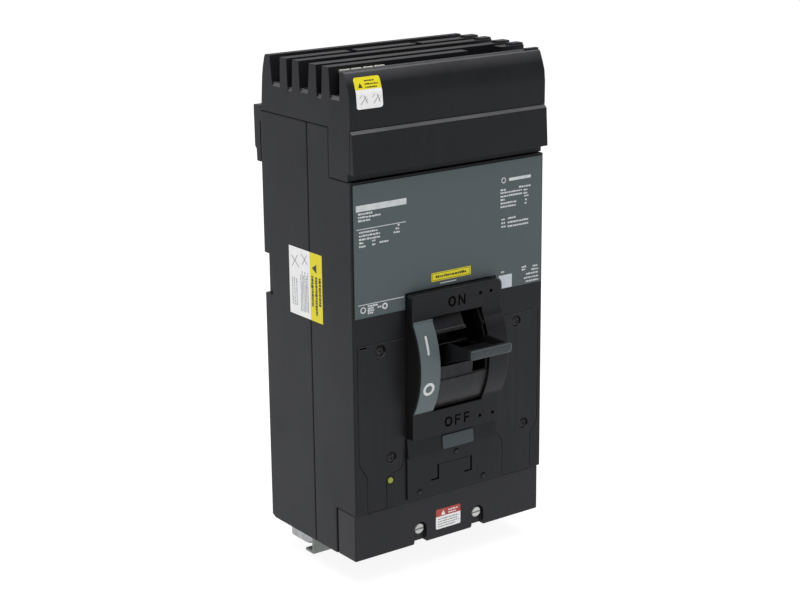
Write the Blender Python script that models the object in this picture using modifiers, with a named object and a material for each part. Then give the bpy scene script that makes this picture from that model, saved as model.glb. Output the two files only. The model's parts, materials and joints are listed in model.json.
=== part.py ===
"""Three-pole molded case breaker with plug-on line jaws and a toggle handle.

Heights run up from the bottom of the case, depths run back from its front face, and x
runs from the middle of the case to the right. The helper functions turn those into the
model frame, whose origin is the middle of the rear mounting face.
"""
import math

import bmesh
import bpy
from mathutils import Matrix, Vector

MM = 0.001
MERGE = 0.000001
SMOOTH_ANGLE = math.radians(32)

# Case
CASE_WIDTH = 152.4
HALF = CASE_WIDTH / 2
CASE_DEPTH = 100.5
CASE_TOP = 279.2
MOUNT_HEIGHT = 140.0
SEAM_DEPTH = 46.5
GAP = 0.3
FRONT_WALL = 5.0
SIDE_WALL = 6.0
REAR_WALL = 5.0
BARRIER = 4.0
POLE_PITCH = 50.8
POLES = (-POLE_PITCH, 0.0, POLE_PITCH)
BODY_TOP = 248.2
LOAD_COVER_TOP = 31.6
LOAD_COVER_BACK = 21.6

# Line housing
WALL_TOP = 316.0
FRONT_WALL_TOP = 314.4
APRON_TOP = 280.0
SLOT_FLOOR = 299.0
SLOTS = (
    ((74.8, 87.2), (75.6, 84.9)),
    ((60.6, 67.6), (61.9, 66.9)),
    ((41.8, 53.9), (43.6, 53.0)),
    ((27.7, 34.6), (29.0, 34.3)),
    ((9.0, 20.9), (9.5, 19.8)),
)
WALLS_WITH_TABS = ((67.6, 74.8), (53.9, 60.6), (34.6, 41.8), (20.9, 27.7))
TAB_START = 66.2
JAW_DEPTHS = (14.9, 48.0, 80.6)
JAW_OFFSET = -1.6
JAW_TOP = 313.9
JAW_HALF_WIDTH = 16.7
FINGER_GAP = 6.6
FINGER_THICK = 1.6
FINGERS = 4

# Handle and escutcheon
PIVOT_DEPTH = 42.0
PIVOT_HEIGHT = 123.5
BEZEL_RADIUS = 57.0
BEZEL_FACE = -7.0
BEZEL_HALF = 35.8
BEZEL_BOTTOM = 76.2
BEZEL_TOP = 172.0
STRIP_TOP = 154.9
WINDOW_HALF = 20.0
WINDOW_BOTTOM = 93.0
WINDOW_TOP = 155.5
SHUTTER_HALF = 21.6
HANDLE_HALF = 15.9
HANDLE_TOP = 140.4
HANDLE_TIP = -42.7

# Mechanism
CROSSBAR_DEPTH = 62.0
CROSSBAR_HEIGHT = 150.0
CROSSBAR_RADIUS = 7.0
TRIP_BAR_DEPTH = 72.0
TRIP_BAR_HEIGHT = 92.0
BUTTON_X = -48.9
BUTTON_HEIGHT = 50.8
STRAP_FRONT = 88.0
STRAP_THICK = 4.0
RUN_HEIGHT = 266.0
LUG_FRONT = 65.0
LUG_BACK = 90.0
LUG_BOTTOM = -12.0
LUG_HALF = 17.4
WIRE_DEPTH = 78.5
LUG_SCREW_HEIGHT = 6.0

ACCESSORY_SCREWS = {
    "left": ((-55.1, 138.6), (-47.8, 66.0)),
    "right": ((54.4, 138.0), (61.2, 65.4)),
}
COVER_SCREWS = (-23.7, 23.7)
COVER_SCREW_HEIGHT = 10.0
RIVETS = ((3.4, 59.0), (-26.4, 37.6), (26.0, 36.7))

for old in list(bpy.data.objects):
    bpy.data.objects.remove(old, do_unlink=True)

breaker = bpy.data.collections.new("molded_case_breaker")
bpy.context.scene.collection.children.link(breaker)
tools = bpy.data.collections.new("cutters")
bpy.context.scene.collection.children.link(tools)


def point(x, depth, height):
    """Case coordinates in millimetres to the model frame in metres."""
    return Vector((x, depth - CASE_DEPTH, height - MOUNT_HEIGHT)) * MM


def material(name, colour, roughness, metallic=0.0):
    made = bpy.data.materials.new(name)
    made.use_nodes = True
    shader = made.node_tree.nodes["Principled BSDF"]
    shader.inputs["Base Color"].default_value = (*colour, 1.0)
    shader.inputs["Roughness"].default_value = roughness
    shader.inputs["Metallic"].default_value = metallic
    return made


THERMOSET = material("thermoset", (0.045, 0.045, 0.047), 0.5)
BEZEL_BLACK = material("bezel_black", (0.028, 0.028, 0.029), 0.45)
NYLON_GREY = material("nylon_grey", (0.11, 0.125, 0.13), 0.45)
LABEL_GREY = material("label_grey", (0.10, 0.12, 0.125), 0.6)
COPPER = material("plated_copper", (0.55, 0.42, 0.2), 0.35, 1.0)
BRASS = material("jaw_copper", (0.6, 0.5, 0.3), 0.35, 1.0)
STEEL = material("zinc_steel", (0.55, 0.56, 0.55), 0.35, 1.0)
BLACK_STEEL = material("black_steel", (0.03, 0.03, 0.03), 0.4, 1.0)
SPRING_STEEL = material("spring_steel", (0.4, 0.4, 0.4), 0.3, 1.0)
ALUMINIUM = material("aluminium", (0.75, 0.76, 0.76), 0.35, 1.0)
FIBRE = material("arc_fibre", (0.35, 0.1, 0.05), 0.7)
BUTTON_GREEN = material("button_green", (0.5, 0.55, 0.05), 0.4)


def box(x, depth, height):
    """A block between pairs of limits."""
    low = point(x[0], depth[0], height[0])
    high = point(x[1], depth[1], height[1])
    size = high - low
    matrix = Matrix.Translation((low + high) / 2) @ Matrix.Diagonal((*size, 1.0))

    def build(mesh):
        bmesh.ops.create_cube(mesh, size=1.0, matrix=matrix)

    return build


def prism(corners, shift):
    """A flat outline of model points pushed along one vector."""

    def build(mesh):
        face = mesh.faces.new([mesh.verts.new(corner) for corner in corners])
        pushed = bmesh.ops.extrude_face_region(mesh, geom=[face])
        moved = [item for item in pushed["geom"] if isinstance(item, bmesh.types.BMVert)]
        bmesh.ops.translate(mesh, verts=moved, vec=shift)

    return build


def side_prism(outline, x):
    """An outline of (depth, height) pairs run across the width."""
    corners = [point(x[0], depth, height) for depth, height in outline]
    return prism(corners, Vector(((x[1] - x[0]) * MM, 0, 0)))


def front_prism(outline, depth):
    """An outline of (x, height) pairs run from front to back."""
    corners = [point(x, depth[0], height) for x, height in outline]
    return prism(corners, Vector((0, (depth[1] - depth[0]) * MM, 0)))


def plan_prism(outline, height):
    """An outline of (x, depth) pairs run upwards."""
    corners = [point(x, depth, height[0]) for x, depth in outline]
    return prism(corners, Vector((0, 0, (height[1] - height[0]) * MM)))


def turned(centre, axis, profile, segments):
    """A profile of (radius, distance) pairs spun round an axis through the centre."""
    along = Vector(axis)
    across = along.orthogonal().normalized()
    start = point(*centre)

    def build(mesh):
        older = set(mesh.verts)
        verts = [mesh.verts.new(start + (along * distance + across * radius) * MM)
                 for radius, distance in profile]
        edges = [mesh.edges.new(pair) for pair in zip(verts, verts[1:])]
        bmesh.ops.spin(mesh, geom=verts + edges, cent=start, axis=along,
                       angle=2 * math.pi, steps=segments, use_merge=True)
        spun = [vert for vert in mesh.verts if vert not in older]
        bmesh.ops.remove_doubles(mesh, verts=spun, dist=MERGE)

    return build


def rod(centre, axis, radius, length, segments=16):
    """A round bar from the centre along an axis."""
    along = Vector(axis)
    middle = point(*centre) + along * length / 2 * MM
    turn = along.to_track_quat("Z", "Y").to_matrix().to_4x4()

    def build(mesh):
        bmesh.ops.create_cone(mesh, cap_ends=True, segments=segments, radius1=radius * MM,
                              radius2=radius * MM, depth=length * MM,
                              matrix=Matrix.Translation(middle) @ turn)

    return build


def arc(radius, start, end, steps):
    """Points of a circle round the handle pivot, as (depth, height) pairs."""
    points = []
    for k in range(steps + 1):
        angle = math.radians(start + (end - start) * k / steps)
        points.append((PIVOT_DEPTH - radius * math.cos(angle),
                       PIVOT_HEIGHT + radius * math.sin(angle)))
    return points


def rounded(x, height, radius, steps=3):
    """A rectangle in the front view with round corners."""
    outline = []
    corners = ((x[1], height[1], 0), (x[0], height[1], 90),
               (x[0], height[0], 180), (x[1], height[0], 270))
    for corner_x, corner_height, turn in corners:
        centre_x = corner_x + math.copysign(radius, -corner_x + (x[0] + x[1]) / 2)
        middle = (height[0] + height[1]) / 2
        centre_height = corner_height + math.copysign(radius, middle - corner_height)
        for k in range(steps + 1):
            angle = math.radians(turn + 90 * k / steps)
            outline.append((centre_x + radius * math.cos(angle),
                            centre_height + radius * math.sin(angle)))
    return outline


def grow(outline, amount):
    """An outline moved out by a clearance on every side."""
    area = sum(a[0] * b[1] - b[0] * a[1] for a, b in zip(outline, outline[1:] + outline[:1]))
    turn = 1 if area > 0 else -1
    grown = []
    for k, corner in enumerate(outline):
        before = Vector(corner) - Vector(outline[k - 1])
        after = Vector(outline[(k + 1) % len(outline)]) - Vector(corner)
        first = Vector((before.y, -before.x)).normalized() * turn
        second = Vector((after.y, -after.x)).normalized() * turn
        middle = (first + second).normalized()
        grown.append(tuple(Vector(corner) + middle * amount / max(middle.dot(first), 0.4)))
    return grown


def mesh_object(name, shapes, collection):
    mesh = bmesh.new()
    for shape in shapes:
        shape(mesh)
    bmesh.ops.recalc_face_normals(mesh, faces=mesh.faces)
    data = bpy.data.meshes.new(name)
    mesh.to_mesh(data)
    mesh.free()
    data.shade_smooth()
    data.set_sharp_from_angle(angle=SMOOTH_ANGLE)
    made = bpy.data.objects.new(name, data)
    collection.objects.link(made)
    return made


class Piece:
    """One solid, with the Boolean steps that shape it."""

    def __init__(self, name, finish, *shapes, origin=None):
        self.body = mesh_object(name, shapes, breaker)
        self.body.data.materials.append(finish)
        if origin is None:
            corners = [Vector(corner) for corner in self.body.bound_box]
            place = sum(corners, Vector()) / len(corners)
        else:
            place = point(*origin)
        self.body.data.transform(Matrix.Translation(-place))
        self.body.location = place
        self.steps = 0

    def combine(self, operation, shapes):
        self.steps += 1
        tool = mesh_object(f"{self.body.name}_tool_{self.steps}", shapes, tools)
        tool.hide_render = True
        tool.display_type = "WIRE"
        step = self.body.modifiers.new(operation.lower(), "BOOLEAN")
        step.operation = operation
        step.solver = "EXACT"
        step.object = tool
        return self

    def cut(self, *shapes):
        return self.combine("DIFFERENCE", shapes)

    def join(self, *shapes):
        return self.combine("UNION", shapes)

    def keep(self, *shapes):
        return self.combine("INTERSECT", shapes)

    def bevel(self, width, segments=2):
        step = self.body.modifiers.new("edges", "BEVEL")
        step.width = width * MM
        step.segments = segments
        step.limit_method = "ANGLE"
        step.angle_limit = math.radians(35)
        return self


def pole_ranges():
    """Inside width of each pole between the barriers."""
    inner = POLE_PITCH / 2
    half = BARRIER / 2
    outer = HALF - SIDE_WALL
    return ((-outer, -inner - half), (-inner + half, inner - half), (inner + half, outer))


def base():
    """Rear half of the case: three deep pole bays, open at the front and the top."""
    front = SEAM_DEPTH + GAP / 2
    profile = ((front, 0), (96.3, 0), (CASE_DEPTH, 1.8), (CASE_DEPTH, CASE_TOP), (front, CASE_TOP))
    made = Piece("base", THERMOSET, side_prism(profile, (-HALF, HALF)),
                 origin=(0, CASE_DEPTH, MOUNT_HEIGHT)).bevel(0.9)
    hook = ((98.0, 272.0), (98.0, 278.4), (101.2, 278.4), (101.2, 281.8), (109.2, 281.8),
            (109.5, 281.2), (109.2, 254.7), (107.4, 253.0), (107.1, 245.2), (102.4, 245.2),
            (102.4, 272.0))
    made.join(side_prism(hook, (-HALF + 1, -HALF + 30)), side_prism(hook, (HALF - 30, HALF - 1)))
    bays = [box(bay, (front - 2, CASE_DEPTH - REAR_WALL), (5, CASE_TOP + 2)) for bay in pole_ranges()]
    made.cut(*bays)
    made.cut(*[box((x - LUG_HALF - 0.6, x + LUG_HALF + 0.6), (56, LUG_BACK + 4.6), (-2, 7)) for x in POLES])
    made.cut(box((-40, 40), (front - 3, 70.5), (140.5, 159.5)),
             box((-40, 40), (front - 3, 77), (86.5, 97.5)))
    made.cut(box((-HALF - 1, -HALF + 3.8), (91, CASE_DEPTH + 1), (158.4, 185.8)),
             box((HALF - 3.8, HALF + 1), (91, CASE_DEPTH + 1), (158.4, 185.8)))


ACCESSORY_OUTLINES = {
    "left": [(-72.8, 143.6), (-36.3, 143.6), (-36.3, 64.5), (-41.2, 56.2), (-46.8, 55.6),
             (-51.0, 54.0), (-52.6, 50.4), (-52.0, 46.0), (-52.0, 32.4), (-66.8, 32.4),
             (-66.8, 56.5), (-72.8, 66.5)],
    "right": [(36.6, 143.4), (72.7, 143.4), (72.7, 66.5), (66.8, 56.5), (66.8, 32.4),
              (43.3, 32.4), (43.3, 57.2), (37.0, 65.7)],
}


def case_cover():
    """Front half of the case, with recesses for the plates and the handle opening."""
    back = SEAM_DEPTH - GAP / 2
    low = LOAD_COVER_BACK + GAP
    step = LOAD_COVER_TOP + GAP
    shoulder = 22.6
    profile = ((back, 0), (back, CASE_TOP), (shoulder, CASE_TOP), (shoulder, BODY_TOP),
               (0, BODY_TOP), (0, step), (low, step), (low, 0))
    made = Piece("case_cover", THERMOSET, side_prism(profile, (-HALF, HALF))).bevel(0.9)
    bay = ((FRONT_WALL, step + 4), (FRONT_WALL, BODY_TOP - 4), (shoulder + 4, BODY_TOP - 4),
           (shoulder + 4, CASE_TOP + 2), (back + 2, CASE_TOP + 2), (back + 2, 5), (low + 4, 5),
           (low + 4, step + 4))
    made.cut(*[side_prism(bay, limits) for limits in pole_ranges()])
    made.cut(box((-22.4, 22.4), (-1, FRONT_WALL + 1), (80, 167)))
    strap_x = POLES[0]
    made.cut(box((strap_x - 12, strap_x + 12), (shoulder - 1, shoulder + 5), (263, 273)))
    made.cut(*[front_prism(grow(line, GAP), (-1, 2.6)) for line in ACCESSORY_OUTLINES.values()])
    made.join(rod((BUTTON_X, FRONT_WALL - 1, BUTTON_HEIGHT), (0, 1, 0), 5, 12, 20))
    holes = [rod((BUTTON_X, -1, BUTTON_HEIGHT), (0, 1, 0), 2.7, 13.5, 16)]
    made.cut(rod((BUTTON_X, 11, BUTTON_HEIGHT), (0, 1, 0), 1.7, 7, 16))
    for places in ACCESSORY_SCREWS.values():
        holes += [rod((x, 2, height), (0, 1, 0), 1.8, 5, 10) for x, height in places]
    holes += [rod((x, low - 1, COVER_SCREW_HEIGHT), (0, 1, 0), 2.5, 7, 12) for x in COVER_SCREWS]
    made.cut(*holes)


def line_housing():
    """Comb-like housing of the line end, with a bowed front wall and five slots for bus bars."""
    outline = ((100.3, 279.6), (98.4, 282), (96.4, 302), (95.2, 308), (93.2, 314.6), (92.0, WALL_TOP),
               (9.6, WALL_TOP), (8.6, FRONT_WALL_TOP), (5.2, FRONT_WALL_TOP), (4.2, 313.5), (1.6, 307.5),
               (-0.3, 302.0), (-1.0, 295.0), (-0.9, APRON_TOP), (-0.2, APRON_TOP), (-0.2, 253.2),
               (2.5, 253.2), (2.5, 248.6), (22.3, 248.6), (22.3, 279.6))
    made = Piece("line_housing", THERMOSET, side_prism(outline, (-HALF, HALF)))
    made.cut(box((-HALF + 2.8, HALF - 2.8), (6, 94.5), (240, 288)))
    reach = HALF + 2
    cuts = []
    for k, (top, bottom) in enumerate(SLOTS):
        floor = SLOT_FLOOR - k % 2
        lift = WALL_TOP + 2
        cuts.append(side_prism(((top[0], lift), (top[1], lift), (bottom[1], floor), (bottom[0], floor)),
                               (-reach, reach)))
    made.cut(*cuts)
    ramps = []
    for k, (_, bottom) in enumerate(SLOTS):
        floor = SLOT_FLOOR - k % 2
        for side in (-1, 1):
            wedge = ((side * (HALF - 2), floor + 0.2), (side * (HALF + 1), floor + 0.2),
                     (side * (HALF + 1), floor - 3.3))
            ramps.append(front_prism(wedge, (bottom[0] + 0.3, bottom[1] - 0.3)))
    made.cut(*ramps)
    made.cut(*[box((pole + JAW_OFFSET - JAW_HALF_WIDTH - 0.5, pole + JAW_OFFSET + JAW_HALF_WIDTH + 0.5),
                   (depth - 5.5, depth + 5.5), (286, SLOT_FLOOR + 13))
               for pole, depth in zip(POLES, JAW_DEPTHS)])
    made.cut(box((30.2, 57.3), (19, 28.6), (301, WALL_TOP + 1)),
             box((-27.6, -21.8), (67, 75.4), (313, WALL_TOP + 1)),
             box((23.8, 29.8), (67, 75.4), (313, WALL_TOP + 1)))
    made.join(*[box((TAB_START, HALF - 0.3), (wall[0] + 0.3, wall[1] - 0.3), (WALL_TOP - 2, WALL_TOP + 1.3))
                for wall in WALLS_WITH_TABS])
    made.join(box((TAB_START, HALF - 0.3), (5.6, 8.8), (FRONT_WALL_TOP - 2, FRONT_WALL_TOP + 1.3)))


def line_end_plate():
    """Apron plate on the front of the line end. Its top is a sloping ledge."""
    top = APRON_TOP - GAP
    outline = ((-4.3, 253.2), (-2.9, top - 1.9), (-0.9, top), (-0.5, top), (-0.5, 253.2))
    Piece("line_end_plate", THERMOSET, side_prism(outline, (-HALF, HALF)))


def load_end_cover():
    """Terminal cover over the load lugs, with two screw channels."""
    half = HALF - 0.6
    made = Piece("load_end_cover", THERMOSET,
                 box((-half, half), (1.9, LOAD_COVER_BACK), (0, LOAD_COVER_TOP))).bevel(0.9)
    made.cut(box((-half + 3, half - 3), (4.9, LOAD_COVER_BACK + 1), (2.6, LOAD_COVER_TOP - 3)))
    made.join(*[box((x - 7.5, x + 7.5), (4.4, 9.5), (0.3, 19)) for x in COVER_SCREWS])
    channels = []
    for x in COVER_SCREWS:
        sweep = [(x + 5 * math.cos(math.radians(a)), COVER_SCREW_HEIGHT + 5 * math.sin(math.radians(a)))
                 for a in range(0, 181, 30)]
        channels.append(front_prism([(x + 5, -1)] + sweep + [(x - 5, -1)], (1, 4.9)))
    made.cut(*channels)
    made.cut(*[box((x - 5.4, x + 5.4), (0, 12), (-1, 1.3)) for x in COVER_SCREWS])
    made.cut(*[rod((x, 4, COVER_SCREW_HEIGHT), (0, 1, 0), 2.5, 7, 12) for x in COVER_SCREWS])


def bezel():
    """Raised escutcheon, barrel-shaped round the handle window."""
    edge = math.degrees(math.acos((PIVOT_DEPTH - BEZEL_FACE) / BEZEL_RADIUS))
    profile = [(-0.2, BEZEL_BOTTOM), (BEZEL_FACE, BEZEL_BOTTOM)]
    profile += arc(BEZEL_RADIUS, -edge, edge, 14)
    profile += [(BEZEL_FACE, BEZEL_TOP - 0.5), (BEZEL_FACE + 0.5, BEZEL_TOP), (-0.2, BEZEL_TOP)]
    made = Piece("handle_bezel", BEZEL_BLACK, side_prism(profile, (-BEZEL_HALF, BEZEL_HALF)))
    made.keep(front_prism(rounded((-BEZEL_HALF, BEZEL_HALF), (BEZEL_BOTTOM - 4, BEZEL_TOP), 4.0),
                          (-20, 2)))
    made.cut(box((-WINDOW_HALF, WINDOW_HALF), (-20, 2), (WINDOW_BOTTOM, WINDOW_TOP)))
    made.cut(rod((-SHUTTER_HALF - 0.7, PIVOT_DEPTH, PIVOT_HEIGHT), (1, 0, 0),
                 BEZEL_RADIUS - 1.2, 2 * SHUTTER_HALF + 1.4, 48))
    made.cut(*[rod((x, BEZEL_FACE - 1, height), (0, 1, 0), 1.2, 5, 10)
               for x, height in ((18.9, 165), (27.6, 165), (18.6, 82), (29.2, 82))])


def position_strip():
    """Grey strip beside the window that follows the barrel and ends on the flat land above it."""
    edge = math.degrees(math.acos((PIVOT_DEPTH - BEZEL_FACE) / BEZEL_RADIUS))
    profile = arc(BEZEL_RADIUS + 0.75, -edge, edge, 14)
    profile += [(BEZEL_FACE - 0.7, STRIP_TOP), (BEZEL_FACE - 0.15, STRIP_TOP)]
    profile += arc(BEZEL_RADIUS + 0.15, edge, -edge, 14)
    Piece("position_strip", LABEL_GREY, side_prism(profile, (-BEZEL_HALF + 0.6, -WINDOW_HALF - 0.2)))


def nameplate():
    made = Piece("nameplate", LABEL_GREY, box((-74.6, 74.6), (-0.7, -0.2), (162.2, 246.6)))
    made.cut(box((-BEZEL_HALF - 0.6, BEZEL_HALF + 0.6), (-2, 1), (150, BEZEL_TOP + 0.6)))


def trip_unit_cover():
    """Riveted plate below the escutcheon, with a raised upper part and a spring tongue."""
    half = 36.3
    foot = Vector((-2.7, 62.6))
    head = Vector((-1.3, 75.8))
    profile = ((-0.2, 34.2), (-1.3, 34.2), (-1.3, foot.y), tuple(foot), tuple(head), (-0.2, head.y))
    made = Piece("trip_unit_cover", THERMOSET, side_prism(profile, (-half, half)))
    ell = ((-12.3, 44.4), (-12.3, 53.6), (-10.8, 53.6), (-10.8, 43.1), (-17.4, 43.1), (-17.4, 44.4))
    made.cut(front_prism(ell, (-4, 1)), front_prism([(x + 27.2, h - 0.3) for x, h in ell], (-4, 1)))
    made.cut(box((-10.0, 13.6), (-4, -0.9), (53.0, 53.6)))
    made.cut(*[rod((x, -3, height), (0, 1, 0), 2.2, 4, 12) for x, height in RIVETS])
    for k, (x, height) in enumerate(RIVETS):
        dome = ((0, -1.5), (1.2, -1.35), (1.9, -0.8), (1.9, 0.4), (0, 0.4))
        Piece(f"cover_rivet_{k + 1}", BLACK_STEEL, turned((x, -0.7, height), (0, 1, 0), dome, 12))
    slope = (head - foot).normalized()
    out = Vector((-slope.y, slope.x))
    low = foot + slope * 0.9
    high = low + slope * 9.2
    face = [low + out * 0.2, high + out * 0.2, high + out * 0.7, low + out * 0.7]
    limits = (-8.8, 16.4)
    inset = Piece("blank_inset", LABEL_GREY, side_prism([tuple(corner) for corner in face], limits))
    inset.keep(front_prism(rounded(limits, (low.y + 0.1, high.y - 0.1), 1.2), (-6, 2)))


def accessory_covers():
    """Flush plates either side of the escutcheon, each held by two recessed screws."""
    number = 0
    for side, outline in ACCESSORY_OUTLINES.items():
        made = Piece(f"accessory_cover_{side}", THERMOSET, front_prism(outline, (0, 2.3)))
        places = ACCESSORY_SCREWS[side]
        made.cut(*[rod((x, -1, height), (0, 1, 0), 3.9, 2.4, 20) for x, height in places])
        made.cut(*[rod((x, 1, height), (0, 1, 0), 1.8, 3, 10) for x, height in places])
        for x, height in places:
            number += 1
            profile = ((0, 0), (2.2, 0), (3.3, 0.5), (3.3, 1.0), (1.5, 1.0), (1.5, 4.6), (0, 4.6))
            screw = Piece(f"accessory_screw_{number}", BLACK_STEEL,
                          turned((x, 0.2, height), (0, 1, 0), profile, 16))
            screw.cut(box((x - 1.9, x + 1.9), (-1, 0.7), (height - 0.35, height + 0.35)))
            screw.cut(box((x - 0.35, x + 0.35), (-1, 0.7), (height - 1.9, height + 1.9)))


def handle():
    """Hollow toggle handle, open at the top, on the escutcheon's centre of curvature."""
    front = HANDLE_TIP + 3.2
    rear_top = 133.0
    profile = ((front, HANDLE_TOP), (-18.0, HANDLE_TOP), (-10.0, rear_top), (2.0, rear_top), (2.0, 125.4),
               (-13.0, 125.4), (front, 135.2))
    pivot = (0, PIVOT_DEPTH, PIVOT_HEIGHT)
    made = Piece("handle", BEZEL_BLACK, side_prism(profile, (-HANDLE_HALF, HANDLE_HALF)), origin=pivot)
    made.bevel(0.5)
    rim = HANDLE_HALF - 1.0
    floor = HANDLE_HALF - 4.2
    made.cut(front_prism([(-rim, HANDLE_TOP + 0.5), (rim, HANDLE_TOP + 0.5), (floor, 136.8), (-floor, 136.8)],
                         (front + 2.6, -0.5)))
    made.cut(side_prism([(-20, HANDLE_TOP), (-20, 133.0), (-12, 128.4), (-0.5, 128.4), (-0.5, HANDLE_TOP)],
                        (-floor, floor)))
    tip = Piece("handle_tip", NYLON_GREY, box((-HANDLE_HALF - 0.3, HANDLE_HALF + 0.3),
                                              (HANDLE_TIP, front - GAP), (134.7, HANDLE_TOP + 0.3)),
                origin=pivot)
    tip.bevel(1.4, 3)

    bands = ((-48, -9.5, 55.2), (-9.5, 0.0, 54.2), (22.5, 24.8, 55.4), (24.8, 70, 54.0))
    inner = 52.2
    shutter = Piece("arc_shutter", BEZEL_BLACK, side_prism(
        arc(inner, -48, 70, 30) + arc(53.4, 70, -48, 30), (-SHUTTER_HALF, SHUTTER_HALF)), origin=pivot)
    for start, end, outer in bands:
        steps = max(1, int((end - start) / 5))
        shutter.join(side_prism(arc(inner + 0.6, start, end, steps) + arc(outer, end, start, steps),
                                (-SHUTTER_HALF + 0.1, SHUTTER_HALF - 0.1)))
    window = arc(inner - 3, 0.0, 22.5, 4) + arc(58, 22.5, 0.0, 4)
    shutter.cut(side_prism(window, (-HANDLE_HALF - 1.8, HANDLE_HALF + 3.7)))
    for start, end, side in ((22.0, 46.0, 5.5), (-9.0, 1.0, 8.5)):
        notch = arc(inner - 3, start, end, 4) + arc(58, end, start, 4)
        shutter.cut(side_prism(notch, (side, SHUTTER_HALF - 2)))

    yoke = Piece("handle_yoke", STEEL, box((-15.5, 15.5), (2.4, 5), (126, rear_top)), origin=pivot)
    arm = ((4.5, 126), (4.5, rear_top), (40, 130.5), (47, 127), (48.5, 123.5), (47, 120), (40, 116.5))
    yoke.join(side_prism(arm, (-15.4, -13.4)), side_prism(arm, (13.4, 15.4)))
    yoke.cut(rod((-17, PIVOT_DEPTH, PIVOT_HEIGHT), (1, 0, 0), 2.4, 34, 12))


def mechanism():
    """Side plates, springs, crossbar and moving contacts."""
    plate = ((37, 117.5), (37, 129.5), (44, 131), (50, 166), (89, 166), (89, 100), (50, 100), (44, 116))
    frame = Piece("mechanism_frame", STEEL, box((-19.2, 19.2), (86, 89), (116, 166)))
    frame.join(side_prism(plate, (-19.1, -17.2)), side_prism(plate, (17.2, 19.1)))
    frame.join(rod((-18, PIVOT_DEPTH, PIVOT_HEIGHT), (1, 0, 0), 2.0, 36, 12))
    frame.cut(rod((-30, CROSSBAR_DEPTH, CROSSBAR_HEIGHT), (1, 0, 0), CROSSBAR_RADIUS + 1.2, 60, 20))

    for side, x in (("left", -9.0), ("right", 9.0)):
        coil(f"toggle_spring_{side}", (x, 30, 131), (x, 58, 134), 3.0, 0.6, 7)

    axis = (0, CROSSBAR_DEPTH, CROSSBAR_HEIGHT)
    Piece("crossbar", BEZEL_BLACK, rod((-68, CROSSBAR_DEPTH, CROSSBAR_HEIGHT), (1, 0, 0),
                                       CROSSBAR_RADIUS, 136, 20), origin=axis)
    for k, pole in enumerate(POLES):
        outline = ((57.6, 156.8), (66.4, 156.8), (74.5, 196), (79.8, 205.5), (79.2, 211),
                   (75.0, 211.6), (70.6, 206), (66.0, 186))
        arm = Piece(f"contact_arm_{k + 1}", COPPER, side_prism(outline, (pole - 4.5, pole + 4.5)),
                    origin=(pole, CROSSBAR_DEPTH, CROSSBAR_HEIGHT))
        arm.cut(rod((pole - 8, CROSSBAR_DEPTH, CROSSBAR_HEIGHT), (1, 0, 0), CROSSBAR_RADIUS + 0.3, 16, 20))


def coil(name, start, end, radius, wire, turns):
    """A coil spring between two points, from a thick curve."""
    first = point(*start)
    last = point(*end)
    line = last - first
    across = line.orthogonal().normalized()
    other = line.normalized().cross(across)
    per_turn = 10
    count = turns * per_turn + 1
    data = bpy.data.curves.new(name, "CURVE")
    data.dimensions = "3D"
    data.bevel_depth = wire * MM
    data.bevel_resolution = 0
    data.use_fill_caps = True
    data.resolution_u = 1
    spline = data.splines.new("POLY")
    spline.points.add(count - 1)
    for k in range(count):
        angle = 2 * math.pi * k / per_turn
        place = line * (k / (count - 1))
        place = place + (across * math.cos(angle) + other * math.sin(angle)) * radius * MM
        spline.points[k].co = (*place, 1.0)
    made = bpy.data.objects.new(name, data)
    made.location = first
    data.materials.append(SPRING_STEEL)
    breaker.objects.link(made)


def line_conductors():
    """Plug-on jaws, line straps with fixed contacts, and arc chutes."""
    for k, (pole, depth) in enumerate(zip(POLES, JAW_DEPTHS)):
        inner = FINGER_GAP / 2
        outer = inner + FINGER_THICK
        left = pole + JAW_OFFSET - JAW_HALF_WIDTH
        waist = JAW_TOP - 4.5
        profile = [(-outer, 284), (-outer, waist), (-outer - 0.5, JAW_TOP - 0.8), (-outer + 0.5, JAW_TOP),
                   (-inner, waist), (-inner, 288), (inner, 288), (inner, waist), (outer - 0.5, JAW_TOP),
                   (outer + 0.5, JAW_TOP - 0.8), (outer, waist), (outer, 284)]
        jaw = Piece(f"line_jaw_{k + 1}", BRASS, side_prism(
            [(depth + across, height) for across, height in profile], (left, left + 2 * JAW_HALF_WIDTH)))
        pitch = (2 * JAW_HALF_WIDTH + 1.1) / FINGERS
        jaw.cut(*[box((left + n * pitch - 1.1, left + n * pitch), (depth - 8, depth + 8), (291, 316))
                  for n in range(1, FINGERS)])

        back = STRAP_FRONT + STRAP_THICK
        half = STRAP_THICK / 2
        run_top = RUN_HEIGHT + STRAP_THICK
        strap = ((depth - half, 283.7), (depth + half, 283.7), (depth + half, run_top), (back, run_top),
                 (back, 196), (STRAP_FRONT, 196), (STRAP_FRONT, 201), (85.2, 202), (85.2, 212),
                 (STRAP_FRONT, 213), (STRAP_FRONT, RUN_HEIGHT), (depth - half, RUN_HEIGHT))
        Piece(f"line_strap_{k + 1}", COPPER, side_prism(strap, (pole - 11, pole + 11)))

        chute = Piece(f"arc_chute_{k + 1}", FIBRE, box((pole - 18.5, pole - 17), (48, 84), (215, 252)),
                      box((pole + 17, pole + 18.5), (48, 84), (215, 252)))
        chute.join(*[box((pole - 17.2, pole + 17.2), (50, 82), (218 + 5 * n, 219.4 + 5 * n))
                     for n in range(7)])


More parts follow.
